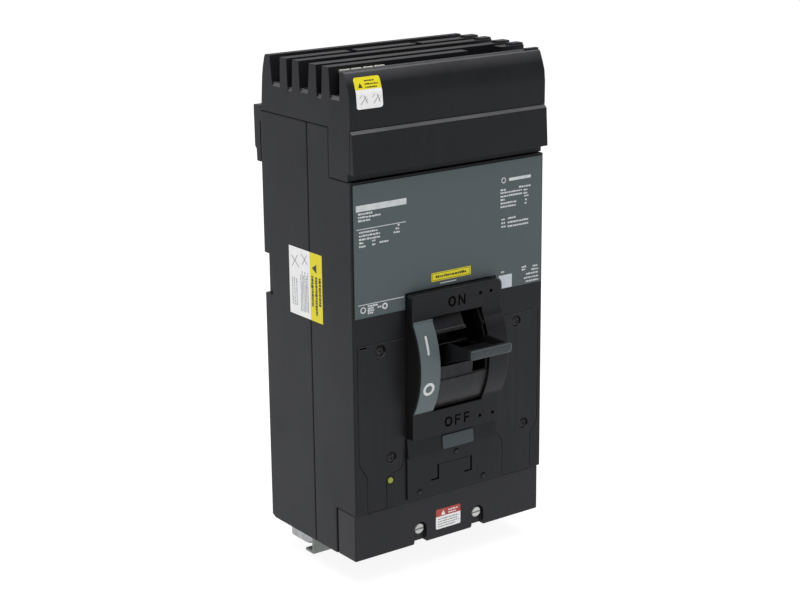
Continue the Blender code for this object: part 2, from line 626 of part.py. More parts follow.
def load_conductors():
    """Load straps, magnetic yokes, bimetals, trip bar, lugs and the foot bracket."""
    for k, pole in enumerate(POLES):
        strap = ((90.5, 4), (93.5, 4), (93.5, 112), (72, 112), (72, 109), (90.5, 109))
        Piece(f"load_strap_{k + 1}", COPPER, side_prism(strap, (pole - 9, pole + 9)))
        yoke = ((pole - 13.5, 78), (pole + 13.5, 78), (pole + 13.5, 94.6), (pole + 10.5, 94.6),
                (pole + 10.5, 80.6), (pole - 10.5, 80.6), (pole - 10.5, 94.6), (pole - 13.5, 94.6))
        Piece(f"magnet_yoke_{k + 1}", STEEL, plan_prism(yoke, (60, 78)))
        strip = ((90.2, 100), (90.2, 104), (86, 104), (82, 62), (83.2, 62), (87, 100))
        Piece(f"bimetal_{k + 1}", BRASS, side_prism(strip, (pole - 5, pole + 5)))

        plan = ((pole - LUG_HALF, LUG_BACK), (pole + LUG_HALF, LUG_BACK), (pole + LUG_HALF, LUG_FRONT + 5),
                (pole + LUG_HALF - 5, LUG_FRONT), (pole - LUG_HALF + 5, LUG_FRONT),
                (pole - LUG_HALF, LUG_FRONT + 5))
        lug = Piece(f"load_lug_{k + 1}", ALUMINIUM, plan_prism(plan, (LUG_BOTTOM, 22))).bevel(1.6)
        lug.cut(rod((pole, WIRE_DEPTH, LUG_BOTTOM - 1), (0, 0, 1), 9.5, 27, 20))
        lug.cut(rod((pole, LUG_FRONT - 1, LUG_SCREW_HEIGHT), (0, 1, 0), 6.2, 10, 16))
        start = LUG_FRONT - 8
        set_screw = ((0, 0), (5.9, 0), (5.9, 13), (0, 13))
        screw = Piece(f"lug_screw_{k + 1}", STEEL,
                      turned((pole, start, LUG_SCREW_HEIGHT), (0, 1, 0), set_screw, 16))
        screw.cut(rod((pole, start - 1, LUG_SCREW_HEIGHT), (0, 1, 0), 3.2, 6, 6))

    axis = (0, TRIP_BAR_DEPTH, TRIP_BAR_HEIGHT)
    shaft = rod((-68, TRIP_BAR_DEPTH, TRIP_BAR_HEIGHT), (1, 0, 0), 3.5, 136, 12)
    bar = Piece("trip_bar", BEZEL_BLACK, shaft, origin=axis)
    bar.join(*[box((pole - 4, pole + 4), (73, 80), (82, 93)) for pole in POLES])
    bar.join(box((BUTTON_X - 2, BUTTON_X + 2), (69.6, 72.4), (46, 92)))

    head = ((0, 0), (1.7, 0), (2.2, 0.5), (2.2, 4), (1.3, 4), (1.3, 17.2), (2.6, 17.2), (2.6, 18.4),
            (1.3, 18.4), (1.3, 69.6), (0, 69.6))
    Piece("trip_button", BUTTON_GREEN, turned((BUTTON_X, -0.6, BUTTON_HEIGHT), (0, 1, 0), head, 16))
    coil("button_spring", (BUTTON_X, 4.1, BUTTON_HEIGHT), (BUTTON_X, 11.9, BUTTON_HEIGHT), 2.05, 0.3, 5)

    foot = ((61.5, 0), (61.5, -15.8), (62.4, -17), (71.4, -17), (72.2, -16.2), (71.4, -15.0),
            (64.6, -15.0), (63.9, -14.2), (63.9, 0))
    bracket = Piece("foot_bracket", STEEL, side_prism(foot, (-68.2, 68.2)))
    bracket.cut(box((-70, 70), (60, 66), (-1.2, 1)))
    bracket.join(*[box((pole - 12, pole + 12), (61.6, 63.8), (-3, 27)) for pole in POLES])
    bracket.cut(*[rod((pole, 58, LUG_SCREW_HEIGHT), (0, 1, 0), 6.8, 10, 16) for pole in POLES])

    for k, x in enumerate(COVER_SCREWS):
        profile = ((0, 0), (3.2, 0), (3.8, 0.6), (3.8, 1.6), (2.1, 1.6), (2.1, 21), (0, 21))
        screw = Piece(f"cover_screw_{k + 1}", STEEL,
                      turned((x, 3.1, COVER_SCREW_HEIGHT), (0, 1, 0), profile, 16))
        screw.cut(box((x - 5, x + 5), (1, 3.9), (COVER_SCREW_HEIGHT - 0.5, COVER_SCREW_HEIGHT + 0.5)))


base()
case_cover()
line_housing()
line_end_plate()
load_end_cover()
bezel()
position_strip()
nameplate()
trip_unit_cover()
accessory_covers()
handle()
mechanism()
line_conductors()
load_conductors()
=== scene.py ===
"""Looks of a plug-on molded case breaker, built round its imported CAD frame."""

import json
import math
from random import Random

import bmesh
import bpy
from mathutils import Matrix, Vector
from mathutils.bvhtree import BVHTree


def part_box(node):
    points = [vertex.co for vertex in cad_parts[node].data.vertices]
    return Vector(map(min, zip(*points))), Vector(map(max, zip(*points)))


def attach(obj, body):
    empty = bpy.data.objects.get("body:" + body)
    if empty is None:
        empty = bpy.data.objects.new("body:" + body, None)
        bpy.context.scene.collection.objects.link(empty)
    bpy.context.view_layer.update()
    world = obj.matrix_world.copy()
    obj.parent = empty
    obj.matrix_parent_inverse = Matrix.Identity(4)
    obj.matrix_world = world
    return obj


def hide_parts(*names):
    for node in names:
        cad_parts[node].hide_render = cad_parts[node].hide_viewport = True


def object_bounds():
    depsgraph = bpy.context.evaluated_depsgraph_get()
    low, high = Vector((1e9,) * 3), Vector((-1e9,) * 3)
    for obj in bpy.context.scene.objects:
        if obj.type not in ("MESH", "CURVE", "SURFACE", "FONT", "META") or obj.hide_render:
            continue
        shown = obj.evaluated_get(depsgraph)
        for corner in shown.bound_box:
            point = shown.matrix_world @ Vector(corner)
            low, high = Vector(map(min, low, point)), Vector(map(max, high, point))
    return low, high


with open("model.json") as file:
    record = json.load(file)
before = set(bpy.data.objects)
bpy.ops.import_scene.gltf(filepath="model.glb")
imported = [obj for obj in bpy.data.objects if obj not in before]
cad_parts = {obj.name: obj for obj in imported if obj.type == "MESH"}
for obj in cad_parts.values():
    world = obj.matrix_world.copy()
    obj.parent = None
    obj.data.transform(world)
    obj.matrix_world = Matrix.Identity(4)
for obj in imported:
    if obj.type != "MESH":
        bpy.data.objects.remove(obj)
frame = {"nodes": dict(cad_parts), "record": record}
CAD_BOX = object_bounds()

MM = 0.001
NODES = frame["nodes"]
RECORD = frame["record"]
BODY_OF = {node: body for body, members in RECORD["behaviour"]["bodies"].items() for node in members}
SLOT_OF = {entry["node"]: entry["material_slot"] for entry in RECORD["subparts"]}

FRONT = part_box("case_cover")[0].y
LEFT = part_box("case_cover")[0].x
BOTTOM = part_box("base")[0].z

# Camera, in metres, degrees and, for the lens, millimetres
CAMERA_PLACE = (-0.6875, -0.9922, 0.3425)
CAMERA_YAW = 35.99
CAMERA_PITCH = 15.88
CAMERA_ROLL = -0.60
CAMERA_LENS = 82.58
SENSOR = 36.0

# Studio, in metres and watts
FLOOR_SIZE = 8.0
FLOOR_DROP = 0.0002
FLOOR_GREY = 0.2
FLOOR_GLOW = 0.9
TENT_LIGHT = 0.45
BOX_PLACE = (0.1, 0.1, 1.7)
BOX_AIM = (0, -0.05, 0)
BOX_SIZE = 2.2
BOX_POWER = 45

# Mesh work
MERGE = 0.000002
FLAT_ANGLE = math.radians(0.6)
SHARP_ANGLE = math.radians(38)


def place(x, depth, height):
    """Millimetres right of the middle, behind the case's front and above its bottom."""
    return Vector((x * MM, FRONT + depth * MM, BOTTOM + height * MM))


# ---------------------------------------------------------------- shader helpers, in metres

def add(tree, kind, settings=None, **inputs):
    """A new node, with its inputs set to values or linked to sockets."""
    made = tree.nodes.new(kind)
    for key, value in (settings or {}).items():
        setattr(made, key, value)
    for key, value in inputs.items():
        join(tree, value, made.inputs[key.replace("_", " ")])
    return made


def join(tree, value, socket):
    """Links a socket, or sets its value."""
    if isinstance(value, bpy.types.NodeSocket):
        tree.links.new(value, socket)
    else:
        socket.default_value = value


def maths(tree, operation, *values, clamp=False):
    made = add(tree, "ShaderNodeMath", {"operation": operation, "use_clamp": clamp})
    for socket, value in zip(made.inputs, values):
        join(tree, value, socket)
    return made.outputs["Value"]


def ramp(tree, value, low, high, out_low=0.0, out_high=1.0):
    made = add(tree, "ShaderNodeMapRange", Value=value, From_Min=low, From_Max=high,
               To_Min=out_low, To_Max=out_high)
    return made.outputs["Result"]


def noise(tree, position, size, detail=3.0, roughness=0.55):
    """Noise whose features are about size metres across."""
    made = add(tree, "ShaderNodeTexNoise", Vector=position, Scale=1 / size, Detail=detail,
               Roughness=roughness)
    return made.outputs["Fac"]


def mix_colour(tree, factor, first, second):
    made = add(tree, "ShaderNodeMix", {"data_type": "RGBA"})
    join(tree, factor, made.inputs["Factor"])
    ends = [socket for socket in made.inputs if socket.type == "RGBA"]
    for socket, value in zip(ends, (first, second)):
        join(tree, value if isinstance(value, bpy.types.NodeSocket) else (*value, 1.0), socket)
    return next(socket for socket in made.outputs if socket.type == "RGBA")


def start_material(name):
    made = bpy.data.materials.new(name)
    made.use_nodes = True
    tree = made.node_tree
    position = tree.nodes.new("ShaderNodeTexCoord").outputs["Object"]
    return made, tree, tree.nodes["Principled BSDF"], position


def edge_mask(tree, radius):
    """Rounded normal, and a mask that is 1 along sharp outer edges."""
    rounded = add(tree, "ShaderNodeBevel", {"samples": 4}, Radius=radius).outputs["Normal"]
    flat = tree.nodes.new("ShaderNodeNewGeometry").outputs["Normal"]
    agree = add(tree, "ShaderNodeVectorMath", {"operation": "DOT_PRODUCT"})
    tree.links.new(rounded, agree.inputs[0])
    tree.links.new(flat, agree.inputs[1])
    return rounded, ramp(tree, agree.outputs["Value"], 0.995, 0.80)


def openness(tree, reach, limits):
    """1 where the surface stands open, falling to 0 deep inside slots and hollows; it masks the painted
    shade.
    """
    seen = add(tree, "ShaderNodeAmbientOcclusion", {"samples": 6}, Distance=reach).outputs["AO"]
    return ramp(tree, seen, *limits)


def upward(tree, normal):
    return add(tree, "ShaderNodeSeparateXYZ", Vector=normal).outputs["Z"]


def ledges(tree):
    """1 on faces that slope up to the sky, a little on level ones and 0 on upright ones; it masks the painted
    top light.
    """
    height = upward(tree, tree.nodes.new("ShaderNodeNewGeometry").outputs["Normal"])
    return maths(tree, "MULTIPLY", ramp(tree, height, 0.35, 0.60), ramp(tree, height, 0.97, 0.86, 0.06, 1.0))


def moulded(name, colour, paler, roughness, wear_and_highlight=0.5, top_light=0.0, gloss=0.2, glint=0.6, rim=0.0004,
            depth=0.00002, shade_reach=0.0, shade_limits=(0.12, 0.42)):
    """Moulded plastic: cloudy colour, faint flow lines and fine grain; paler edges, partly wear and partly
    painted highlight; a painted glint on upward edges, painted top light on faces that look up and painted
    shade deep in slots and hollows.
    """
    made, tree, shader, position = start_material(name)
    stretched = add(tree, "ShaderNodeMapping", Vector=position, Scale=(1.0, 1.0, 0.12)).outputs["Vector"]
    cloud = noise(tree, position, 0.045, 4.0)
    lines = noise(tree, stretched, 0.006)
    specks = noise(tree, position, 0.0016, 2.0)
    rounded, edges = edge_mask(tree, rim)
    tone = maths(tree, "MULTIPLY_ADD", cloud, 0.5, -0.12)
    tone = maths(tree, "ADD", tone, ramp(tree, lines, 0.45, 0.75, 0.0, 0.15))
    tone = maths(tree, "ADD", tone, ramp(tree, specks, 0.66, 0.78, 0.0, 0.3))
    # Paler edges: partly wear, and on the shutter, the accessory covers and the button a painted edge
    # highlight.
    patchy = ramp(tree, noise(tree, position, 0.009), 0.35, 0.65, 0.3 * wear_and_highlight, wear_and_highlight)
    tone = maths(tree, "ADD", tone, maths(tree, "MULTIPLY", edges, patchy), clamp=True)
    base = mix_colour(tree, tone, colour, paler)
    # Painted highlight: edges that face up are mixed towards the glint colour, as if they caught the top
    # light.
    upper_edges = maths(tree, "MULTIPLY", edges, ramp(tree, upward(tree, rounded), 0.15, 0.55))
    base = mix_colour(tree, maths(tree, "MULTIPLY", upper_edges, glint), base, GLINT)
    # Painted top light: faces that look up are mixed towards a paler grey, patchy with the cloud, as if lit
    # from above.
    if top_light:
        top_lit = maths(tree, "MULTIPLY", ledges(tree), ramp(tree, cloud, 0.3, 0.6, 0.6 * top_light, top_light))
        base = mix_colour(tree, top_lit, base, PAINTED_TOP_LIGHT)
    # Painted shade: colour and specular fall towards near black where the AO finds the surface enclosed,
    # standing in for shade in slots and hollows.
    if shade_reach:
        bare = openness(tree, shade_reach, shade_limits)
        base = mix_colour(tree, bare, PAINTED_SHADE, base)
        tree.links.new(maths(tree, "MULTIPLY_ADD", bare, 0.85 * gloss, 0.15 * gloss),
                       shader.inputs["Specular IOR Level"])
    else:
        shader.inputs["Specular IOR Level"].default_value = gloss
    tree.links.new(base, shader.inputs["Base Color"])
    tree.links.new(ramp(tree, cloud, 0.3, 0.7, roughness - 0.05, roughness + 0.06),
                   shader.inputs["Roughness"])
    shader.inputs["Specular Tint"].default_value = (0.90, 0.93, 1.0, 1.0)
    height = noise(tree, position, 0.0006, 2.0, 0.6)
    bump = add(tree, "ShaderNodeBump", Strength=0.3, Distance=depth, Height=height, Normal=rounded)
    tree.links.new(bump.outputs["Normal"], shader.inputs["Normal"])
    return made


def metal(name, colour, tarnish, roughness, tip=None):
    """Plated or bare metal: drawn lines, uneven tarnish, rubbed edges and bright tips between two heights."""
    made, tree, shader, position = start_material(name)
    along = add(tree, "ShaderNodeMapping", Vector=position, Scale=(1.0, 1.0, 8.0)).outputs["Vector"]
    lines = noise(tree, along, 0.0012)
    stain = noise(tree, position, 0.007, 5.0)
    rounded, edges = edge_mask(tree, 0.0003)
    tone = maths(tree, "MULTIPLY", ramp(tree, stain, 0.4, 0.75), 0.35)
    tone = maths(tree, "SUBTRACT", tone, maths(tree, "MULTIPLY", edges, 0.4), clamp=True)
    base = mix_colour(tree, tone, colour, tarnish)
    if tip:
        base = mix_colour(tree, ramp(tree, upward(tree, position), *tip), base, TINNED)
    tree.links.new(base, shader.inputs["Base Color"])
    rough = maths(tree, "ADD", ramp(tree, stain, 0.35, 0.7, roughness, roughness + 0.15),
                  ramp(tree, lines, 0.3, 0.7, -0.04, 0.06))
    tree.links.new(rough, shader.inputs["Roughness"])
    shader.inputs["Metallic"].default_value = 1.0
    bump = add(tree, "ShaderNodeBump", Strength=0.25, Distance=0.00002, Height=lines, Normal=rounded)
    tree.links.new(bump.outputs["Normal"], shader.inputs["Normal"])
    return made


def printed(name, colour, faded, roughness=0.5, gloss=0.4):
    """Ink or coated film: slightly uneven cover and a few worn specks."""
    made, tree, shader, position = start_material(name)
    cloud = noise(tree, position, 0.006, 4.0)
    specks = noise(tree, position, 0.0005, 2.0)
    tone = maths(tree, "ADD", ramp(tree, cloud, 0.35, 0.75, 0.0, 0.5),
                 ramp(tree, specks, 0.62, 0.75, 0.0, 0.6), clamp=True)
    tree.links.new(mix_colour(tree, tone, colour, faded), shader.inputs["Base Color"])
    tree.links.new(ramp(tree, cloud, 0.3, 0.7, roughness - 0.06, roughness + 0.08),
                   shader.inputs["Roughness"])
    shader.inputs["Specular IOR Level"].default_value = gloss
    bump = add(tree, "ShaderNodeBump", Strength=0.2, Distance=0.00001, Height=cloud)
    tree.links.new(bump.outputs["Normal"], shader.inputs["Normal"])
    return made


# ---------------------------------------------------------------- finishes, in linear colours

# Colour of the painted top light on faces that look up
PAINTED_TOP_LIGHT = (0.105, 0.105, 0.108)
# Colour of the painted shade deep in slots and hollows
PAINTED_SHADE = (0.0012, 0.0012, 0.0013)
# Colour of the painted glint on upward edges
GLINT = (0.11, 0.11, 0.115)
TINNED = (0.86, 0.84, 0.76)
JAW_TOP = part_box("line_jaw_1")[1].z
JAW_TIP_HEIGHTS = (JAW_TOP - 2.2 * MM, JAW_TOP - 1.2 * MM)
JAW_LOOK = ((0.10, 0.09, 0.05), (0.035, 0.03, 0.014), 0.42)
# How far the painted shade in slots and hollows looks for enclosing surfaces
SLOT_SHADE_REACH = 12 * MM
SMOOTH_LABEL = {"wear_and_highlight": 0.3, "glint": 0.0, "depth": 0.000008}

# One finish for each material slot of the record
FINISHES = {
    # Thermoset and bezel take painted top light on faces that look up and painted shade in slots
    "thermoset": moulded("thermoset_moulding", (0.0084, 0.0086, 0.0099), (0.020, 0.0202, 0.0225), 0.40,
                         top_light=1.0, shade_reach=SLOT_SHADE_REACH),
    "bezel_black": moulded("bezel_moulding", (0.0070, 0.0070, 0.0076), (0.018, 0.018, 0.019), 0.38,
                           top_light=0.3, shade_reach=SLOT_SHADE_REACH),
    "nylon_grey": moulded("grey_green_moulding", (0.052, 0.066, 0.069), (0.11, 0.13, 0.13), 0.42, top_light=0.3),
    "label_grey": moulded("slate_label", (0.082, 0.104, 0.109), (0.103, 0.128, 0.133), 0.5, **SMOOTH_LABEL),
    "copper": metal("bare_copper", (0.72, 0.40, 0.26), (0.32, 0.16, 0.10), 0.32),
    "jaw_copper": metal("jaw_metal", *JAW_LOOK),
    "zinc_steel": metal("zinc_plate", (0.50, 0.51, 0.50), (0.22, 0.225, 0.22), 0.28),
    "black_steel": metal("blackened_steel", (0.034, 0.034, 0.036), (0.010, 0.010, 0.011), 0.2),
    "spring_steel": metal("spring_wire", (0.45, 0.45, 0.46), (0.25, 0.25, 0.26), 0.30),
    "aluminium": metal("tinned_aluminium", (0.40, 0.41, 0.42), (0.22, 0.23, 0.24), 0.34),
    "arc_fibre": moulded("vulcanised_fibre", (0.22, 0.06, 0.03), (0.34, 0.12, 0.07), 0.62),
    # The button's wide paler rim is partly a painted highlight, and its edge where it sits sunk takes painted
    # shade
    "button_green": moulded("button_moulding", (0.24, 0.27, 0.014), (0.6, 0.64, 0.12), 0.3, gloss=0.5,
                            rim=0.8 * MM, shade_reach=4 * MM, shade_limits=(0.3, 0.75)),
}

# Nodes whose surface differs from the rest of their slot
SPECIAL_FINISHES = {
    "line_jaw_1": metal("front_jaw_metal", *JAW_LOOK, tip=JAW_TIP_HEIGHTS),
    "foot_bracket": metal("bracket_plate", (0.20, 0.215, 0.205), (0.09, 0.10, 0.095), 0.32),
    # The load end cover takes some painted top light and painted shade in its slots
    "load_end_cover": moulded("load_cover_moulding", (0.0125, 0.0122, 0.0135), (0.026, 0.026, 0.0285), 0.36,
                              top_light=0.6, gloss=0.24, shade_reach=SLOT_SHADE_REACH),
    # The handle's scoop and the void behind it take painted shade over a long reach
    "handle": moulded("handle_moulding", (0.005, 0.005, 0.0056), (0.016, 0.016, 0.017), 0.34,
                      shade_reach=30 * MM, shade_limits=(0.35, 0.8)),
    "handle_tip": moulded("tip_moulding", (0.036, 0.044, 0.048), (0.07, 0.082, 0.085), 0.42, gloss=0.3),
    # The shutter's paler, wider edges and strong glint are painted highlights along its band edges; its
    # hollows take painted shade
    "arc_shutter": moulded("shutter_moulding", (0.0062, 0.0062, 0.0067), (0.075, 0.075, 0.078), 0.34,
                           wear_and_highlight=1.0, glint=1.0, rim=0.9 * MM, shade_reach=SLOT_SHADE_REACH),
    "position_strip": moulded("strip_label", (0.104, 0.130, 0.136), (0.13, 0.16, 0.165), 0.45,
                              **SMOOTH_LABEL),
    "blank_inset": moulded("inset_label", (0.062, 0.078, 0.083), (0.08, 0.10, 0.105), 0.5, **SMOOTH_LABEL),
}
# The accessory covers' paler, wider edges and strong glint are painted highlights along their edges, besides
# some wear
for side in ("left", "right"):
    SPECIAL_FINISHES[f"accessory_cover_{side}"] = moulded(
        f"accessory_moulding_{side}", (0.0074, 0.0075, 0.0082), (0.034, 0.034, 0.036), 0.40,
        wear_and_highlight=0.9, top_light=1.0, glint=1.0, rim=0.8 * MM)

# Inks, films and the painted shade at the bottom of sunk marks
PRINTS = {
    "white": printed("white_ink", (0.66, 0.68, 0.69), (0.38, 0.41, 0.43)),
    "film": printed("white_film", (0.90, 0.90, 0.90), (0.80, 0.80, 0.80), 0.4),
    "pale": printed("pale_film", (0.56, 0.61, 0.66), (0.50, 0.55, 0.60), 0.4),
    "yellow": printed("yellow_film", (0.80, 0.70, 0.006), (0.72, 0.62, 0.015), 0.5),
    "red": printed("red_film", (0.42, 0.03, 0.02), (0.50, 0.14, 0.11), 0.35),
    "grey": printed("grey_ink", (0.16, 0.17, 0.20), (0.34, 0.35, 0.38)),
    "dark": printed("dark_ink", (0.03, 0.027, 0.004), (0.10, 0.085, 0.008)),
    # Near black and barely glossy: painted shade at the bottom of the letters and pry slots
    "sunk_shade": printed("sunk_mark_shade", (0.0010, 0.0010, 0.0011), (0.002, 0.002, 0.002), 0.7, 0.08),
}


def finish_of(node):
    return SPECIAL_FINISHES.get(node, FINISHES[SLOT_OF[node]])


# ---------------------------------------------------------------- mesh helpers

def finish_object(name, mesh, material, body, slot=None, replaced=()):
    """A finished piece from a bmesh, with its material, its body and the nodes it stands for."""
    data = bpy.data.meshes.new(name)
    mesh.to_mesh(data)
    mesh.free()
    made = bpy.data.objects.new(name, data)
    bpy.context.scene.collection.objects.link(made)
    data.materials.append(material)
    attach(made, body)
    if replaced:
        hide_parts(*replaced)
    return made


def clean_copy(node):
    """The node's solid as a bmesh of whole flat faces."""
    mesh = bmesh.new()
    mesh.from_mesh(NODES[node].data)
    bmesh.ops.remove_doubles(mesh, verts=mesh.verts, dist=MERGE)
    bmesh.ops.dissolve_limit(mesh, angle_limit=FLAT_ANGLE, verts=mesh.verts, edges=mesh.edges,
                             delimit={"NORMAL"})
    return mesh


def bake(made):
    """Applies an object's modifiers to its mesh."""
    graph = bpy.context.evaluated_depsgraph_get()
    data = bpy.data.meshes.new_from_object(made.evaluated_get(graph))
    made.modifiers.clear()
    old = made.data
    made.data = data
    bpy.data.meshes.remove(old)


def polish(node, width, cutter=None):
    """Stands in for a node with the same solid, its edges rounded off and its flat faces kept flat."""
    made = finish_object(f"{node}_shell", clean_copy(node), finish_of(node), BODY_OF[node],
                         SLOT_OF[node], [node])
    step = made.modifiers.new("edges", "BEVEL")
    step.width = width * MM
    step.segments = 2
    step.limit_method = "ANGLE"
    step.angle_limit = SHARP_ANGLE
    if cutter:
        step = made.modifiers.new("sunk_marks", "BOOLEAN")
        step.operation = "DIFFERENCE"
        step.object = cutter
        step.material_mode = "TRANSFER"
    bake(made)
    made.data.shade_smooth()
    made.data.set_sharp_from_angle(angle=SHARP_ANGLE)
    step = made.modifiers.new("flat_faces", "WEIGHTED_NORMAL")
    step.keep_sharp = True
    bake(made)


# ---------------------------------------------------------------- print and stickers

def front_skin(node):
    """Points on a node's front, from millimetres across and up, lifted off along its normal."""
    mesh = NODES[node].data
    tree = BVHTree.FromPolygons([vert.co for vert in mesh.vertices],
                                [tuple(face.vertices) for face in mesh.polygons])

    def skin(x, height, lift):
        hit, normal, _, _ = tree.ray_cast(place(x, -90, height), Vector((0, 1, 0)))
        return hit + normal * lift * MM

    return skin


def left_skin(depth, height, lift):
    """The flat left side of the case, from millimetres behind its front and above its bottom."""
    spot = place(0, depth, height)
    spot.x = LEFT - lift * MM
    return spot


def bar(x, height, radius=0.0, steps=4):
    """A rectangle between pairs of limits, with round corners if it has a radius."""
    if not radius:
        return [[(x[0], height[0]), (x[1], height[0]), (x[1], height[1]), (x[0], height[1])]]
    outline = []
    corners = ((x[1] - radius, height[1] - radius, 0), (x[0] + radius, height[1] - radius, 90),
               (x[0] + radius, height[0] + radius, 180), (x[1] - radius, height[0] + radius, 270))
    for centre_x, centre_height, start in corners:
        for k in range(steps + 1):
            angle = math.radians(start + 90 * k / steps)
            outline.append((centre_x + radius * math.cos(angle), centre_height + radius * math.sin(angle)))
    return [outline]


def ring(x, height, outer, inner, stretch=0.0, steps=28):
    """A flat ring, as a run of four-sided pieces. Its height can be stretched by a straight part."""
    spokes = [(math.cos(2 * math.pi * (k + 0.5) / steps), math.sin(2 * math.pi * (k + 0.5) / steps))
              for k in range(steps)]
    pieces = []
    for first, second in zip(spokes, spokes[1:] + spokes[:1]):
        corners = ((first, inner), (first, outer), (second, outer), (second, inner))
        pieces.append([(x + spoke[0] * radius, height + spoke[1] * radius + math.copysign(stretch, spoke[1]))
                       for spoke, radius in corners])
    return pieces


def stroke(start, end, width):
    """A straight stroke between two places."""
    along = (Vector(end) - Vector(start)).normalized()
    side = Vector((-along.y, along.x)) * width / 2
    return [[tuple(Vector(start) - side), tuple(Vector(end) - side),
             tuple(Vector(end) + side), tuple(Vector(start) + side)]]


def row(x, height, thick, seed):
    """A row of short marks, as a line of print too small to read."""
    draw = Random(seed)
    marks = []
    left = x[0]
    while left < x[1] - 0.5:
        right = min(left + draw.uniform(0.7, 2.2), x[1])
        tall = thick * draw.uniform(0.75, 1.0)
        marks += bar((left, right), (height, height + tall))
        left = right + draw.uniform(0.25, 0.5)
    return marks


def upright_row(depth, height, thick, seed):
    """A row of short marks that reads downwards."""
    turned = row((-height[1], -height[0]), depth, thick, seed)
    return [[(across, -up) for up, across in mark] for mark in turned]


def slab(skin, shapes, lift, step=None):
    """Flat shapes laid on a skin as thin closed solids, cut into strips where the skin bends."""
    mesh = bmesh.new()
    for outline in shapes:
        mesh.faces.new([mesh.verts.new((across, up, 0)) for across, up in outline])
    bmesh.ops.remove_doubles(mesh, verts=mesh.verts, dist=0.001)
    if step:
        low = min(vert.co.y for vert in mesh.verts)
        high = max(vert.co.y for vert in mesh.verts)
        for k in range(1, math.ceil((high - low) / step)):
            bmesh.ops.bisect_plane(mesh, geom=[*mesh.verts, *mesh.edges, *mesh.faces], dist=0.0001,
                                   plane_co=(0, low + k * step, 0), plane_no=(0, 1, 0))
    raised = bmesh.ops.extrude_face_region(mesh, geom=mesh.faces[:])["geom"]
    for vert in [item for item in raised if isinstance(item, bmesh.types.BMVert)]:
        vert.co.z = 1.0
    for vert in mesh.verts:
        vert.co = skin(vert.co.x, vert.co.y, lift[1] if vert.co.z > 0.5 else lift[0])
    if mesh.calc_volume(signed=True) < 0:
        bmesh.ops.reverse_faces(mesh, faces=mesh.faces)
    return mesh


def stick(name, skin, shapes, material, lift=(0.0, 0.08), step=None):
    """A print or sticker that rides on the case."""
    return finish_object(name, slab(skin, shapes, lift, step), PRINTS[material], "case")


def triangle(x, height, size):
    """A plain upright triangle on a base."""
    return [[(x - size / 2, height), (x + size / 2, height), (x, height + size * 0.87)]]


def nameplate_print():
    """Ink on the front label: bars, rules, rings and rows of unreadable marks.

    The rows run down the upper left block, its small table, the foot of the left column,
    the upper right block, its legend and the foot of the right column.
    """
    skin = front_skin("nameplate")
    shapes = bar((-72.7, -34.7), (229.8, 233.7))
    shapes += bar((-72.5, -35.3), (218.5, 218.95))
    shapes += bar((-72.2, -37.3), (170.6, 171.05))
    rows = [((-71.1, -59.6), 227.7), ((-71.2, -53.7), 225.6), ((-71.2, -62.3), 223.5),
            ((-70.6, -56.8), 216.2), ((-70.7, -55.0), 214.0), ((-70.7, -55.0), 211.8),
            ((-70.7, -67.6), 209.6), ((-61.0, -58.1), 210.0), ((-70.8, -66.0), 207.4),
            ((-61.0, -58.6), 207.6), ((-55.4, -48.7), 208.2),
            ((-41.6, -39.8), 217.0), ((-43.2, -39.8), 214.9), ((-44.7, -39.8), 212.7),
            ((-65.0, -57.4), 168.9), ((-65.0, -60.6), 167.4), ((-57.6, -54.6), 167.2),
            ((-65.0, -60.2), 165.9), ((-65.0, -61.0), 164.4),
            ((55.4, 65.5), 227.6), ((40.0, 44.4), 227.4), ((40.0, 57.9), 225.5), ((40.0, 57.9), 223.2),
            ((40.1, 43.8), 220.9), ((40.1, 53.6), 218.6), ((40.1, 53.6), 216.3),
            ((59.2, 62.4), 225.2), ((59.2, 62.6), 223.0), ((59.8, 63.4), 221.2), ((60.4, 62.4), 218.6),
            ((60.2, 62.2), 216.4),
            ((40.8, 43.6), 208.0), ((46.2, 52.6), 208.2), ((40.8, 44.4), 205.6), ((46.2, 64.0), 205.4),
            ((40.8, 44.4), 203.2), ((46.2, 64.0), 202.8),
            ((58.2, 61.8), 173.6), ((58.2, 61.8), 171.8), ((67.4, 72.2), 173.0), ((66.4, 72.2), 170.8),
            ((61.9, 72.2), 168.4), ((60.2, 72.2), 165.9), ((61.6, 72.3), 163.4), ((40.8, 43.4), 173.0)]
    for seed, (x, height) in enumerate(rows):
        shapes += row(x, height, 1.25, seed)
    shapes += bar((47.0, 65.2), (233.2, 235.2), 0.6)
    shapes += ring(42.6, 234.2, 1.9, 1.3) + ring(-68.5, 167.4, 2.1, 1.35) + ring(-52.0, 167.5, 2.1, 1.1)
    stick("nameplate_print", skin, shapes, "white", (0.0, 0.03))
    corner = [(38.8, 171.4), (38.8, 170.2), (40.0, 169.2), (41.0, 167.6), (41.4, 165.6), (41.4, 162.6),
              (49.8, 162.6), (49.8, 171.4)]
    stick("pale_sticker", skin, [corner], "pale")
    stick("yellow_plate", skin, bar((-15.7, 15.7), (176.6, 182.2), 0.3), "yellow", (0.0, 0.15))
    frame_lines = bar((-15.1, 15.1), (177.1, 177.4)) + bar((-15.1, 15.1), (181.4, 181.7))
    frame_lines += bar((-15.1, -14.8), (177.4, 181.4)) + bar((14.8, 15.1), (177.4, 181.4))
    frame_lines += row((-12.5, 12.0), 178.6, 1.7, 40)
    stick("yellow_plate_frame", skin, frame_lines, "dark", (0.14, 0.17))
    stick("plate_rule", skin, bar((-9.0, 4.0), (174.4, 175.1)), "white", (0.0, 0.03))


